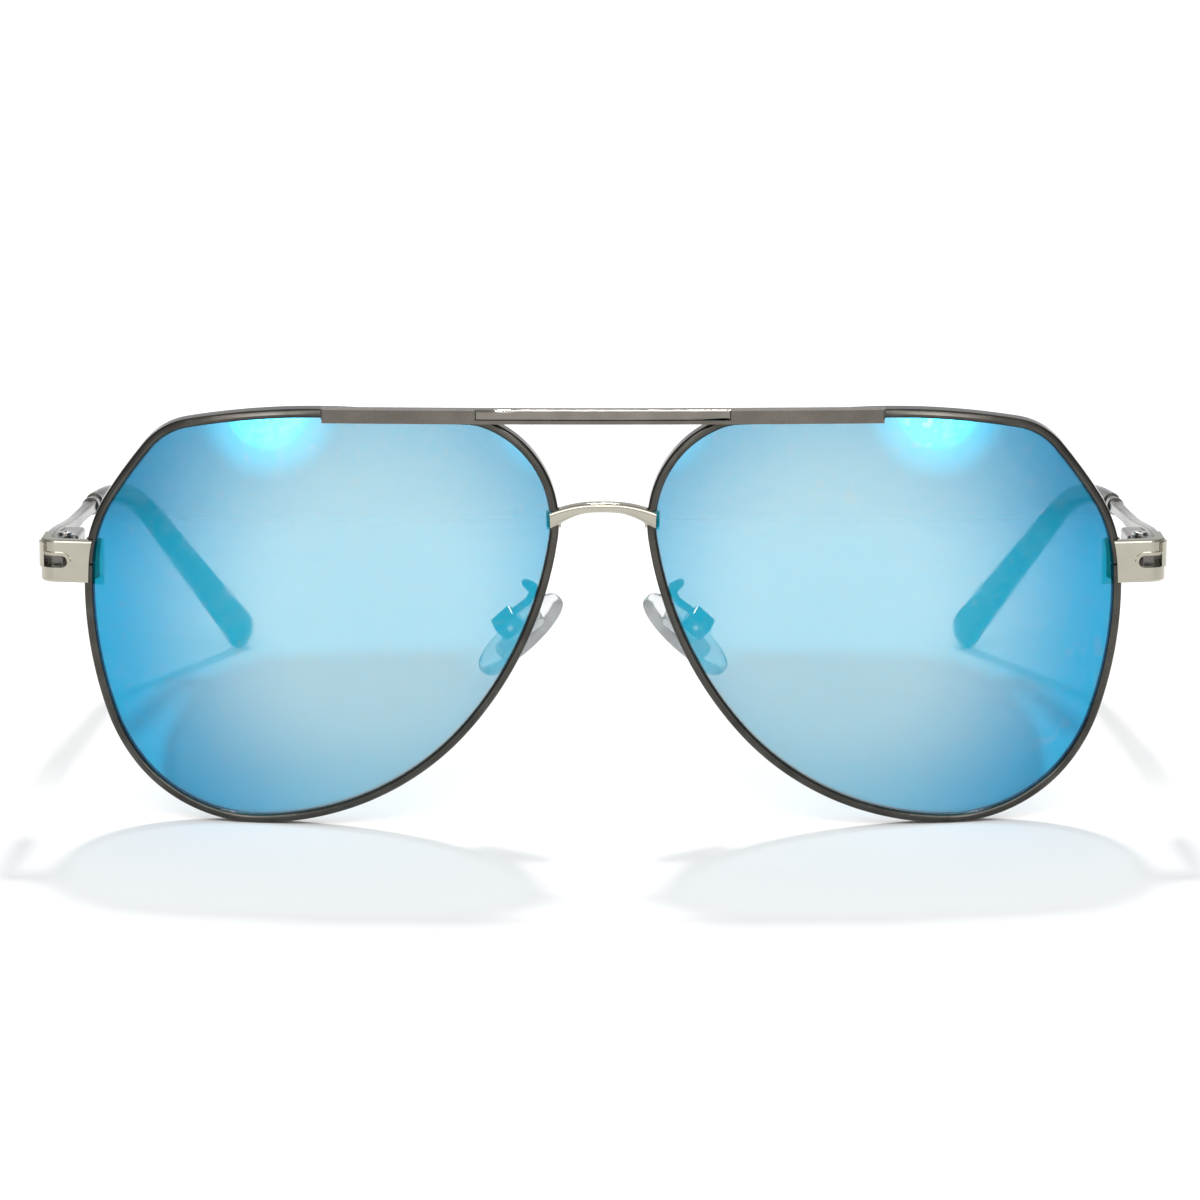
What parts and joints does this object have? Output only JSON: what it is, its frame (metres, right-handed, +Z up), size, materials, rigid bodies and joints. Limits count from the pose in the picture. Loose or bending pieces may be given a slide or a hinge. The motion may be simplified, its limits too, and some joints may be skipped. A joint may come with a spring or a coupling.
{
  "type": "aviator sunglasses",
  "caption": "Metal aviator sunglasses with mirrored teardrop lenses, a brow bar over an arched bridge, sprung folding temples and rocking nose pads.",
  "frame": {"origin": "middle of the width and depth, on the table that the open sunglasses stand on", "axes": "+X to the wearer's left, -Y the way the lenses face, +Z up"},
  "size_m": [0.1522, 0.136, 0.0581],
  "materials": {
    "gunmetal": "satin gunmetal plating with fine brushing",
    "polished_metal": "polished light gunmetal plating",
    "satin_metal": "satin light gunmetal plating",
    "hinge_steel": "machined nickel silver, dark plated",
    "screw_steel": "bright turned steel",
    "spring_steel": "drawn spring wire",
    "core_wire": "drawn nickel silver wire",
    "blue_mirror_lens": "grey tinted lens with an ice-blue mirror coat",
    "tip_plastic": "glossy moulded tip",
    "pad_silicone": "clear soft silicone",
    "insert_plastic": "clear hard plastic"
  },
  "bodies": {
    "front": {"brow_bar": "gunmetal", "brow_bar_inlay": "polished_metal", "bridge": "polished_metal", "rim_left": "gunmetal", "lens_left": "blue_mirror_lens", "end_piece_left": "polished_metal", "front_hinge_left": "hinge_steel", "hinge_screw_left": "screw_steel", "rim_lock_lower_left": "gunmetal", "rim_lock_upper_left": "gunmetal", "rim_lock_screw_left": "screw_steel", "pad_arm_left": "gunmetal", "pad_screw_left": "screw_steel", "rim_right": "gunmetal", "lens_right": "blue_mirror_lens", "end_piece_right": "polished_metal", "front_hinge_right": "hinge_steel", "hinge_screw_right": "screw_steel", "rim_lock_lower_right": "gunmetal", "rim_lock_upper_right": "gunmetal", "rim_lock_screw_right": "screw_steel", "pad_arm_right": "gunmetal", "pad_screw_right": "screw_steel"},
    "hinge_left": {"hinge_carriage_left": "hinge_steel", "spring_nut_left": "screw_steel"},
    "temple_left": {"temple_left": "satin_metal", "spring_housing_left": "satin_metal", "hinge_spring_left": "spring_steel", "tip_ferrule_left": "gunmetal", "temple_tip_left": "tip_plastic", "tip_core_left": "core_wire"},
    "pad_left": {"nose_pad_left": "pad_silicone", "pad_insert_left": "insert_plastic"},
    "hinge_right": {"hinge_carriage_right": "hinge_steel", "spring_nut_right": "screw_steel"},
    "temple_right": {"temple_right": "satin_metal", "spring_housing_right": "satin_metal", "hinge_spring_right": "spring_steel", "tip_ferrule_right": "gunmetal", "temple_tip_right": "tip_plastic", "tip_core_right": "core_wire"},
    "pad_right": {"nose_pad_right": "pad_silicone", "pad_insert_right": "insert_plastic"}
  },
  "joints": [
    {"name": "temple_fold_left", "type": "hinge", "parent": "front", "child": "hinge_left", "pos_m": [0.073, -0.05315, 0.03643], "axis": [0, 0.0436, 0.999], "range_deg": [0, 82]},
    {"name": "spring_hinge_left", "type": "slide", "parent": "hinge_left", "child": "temple_left", "axis": [0, 0.999, -0.0436], "range_m": [0, 0.0011], "stiffness_N_per_m": 2500, "springref_m": -0.0012, "deforming": ["hinge_spring_left"]},
    {"name": "pad_rock_left", "type": "hinge", "parent": "front", "child": "pad_left", "pos_m": [0.01301, -0.05753, 0.02771], "axis": [0.2524, 0.9086, 0.3329], "range_deg": [-7, 7]},
    {"name": "temple_fold_right", "type": "hinge", "parent": "front", "child": "hinge_right", "pos_m": [-0.073, -0.05315, 0.03643], "axis": [0, -0.0436, -0.999], "range_deg": [0, 75]},
    {"name": "spring_hinge_right", "type": "slide", "parent": "hinge_right", "child": "temple_right", "axis": [0, 0.999, -0.0436], "range_m": [0, 0.0011], "stiffness_N_per_m": 2500, "springref_m": -0.0012, "deforming": ["hinge_spring_right"]},
    {"name": "pad_rock_right", "type": "hinge", "parent": "front", "child": "pad_right", "pos_m": [-0.01301, -0.05753, 0.02771], "axis": [0.2524, -0.9086, -0.3329], "range_deg": [-7, 7]}
  ]
}
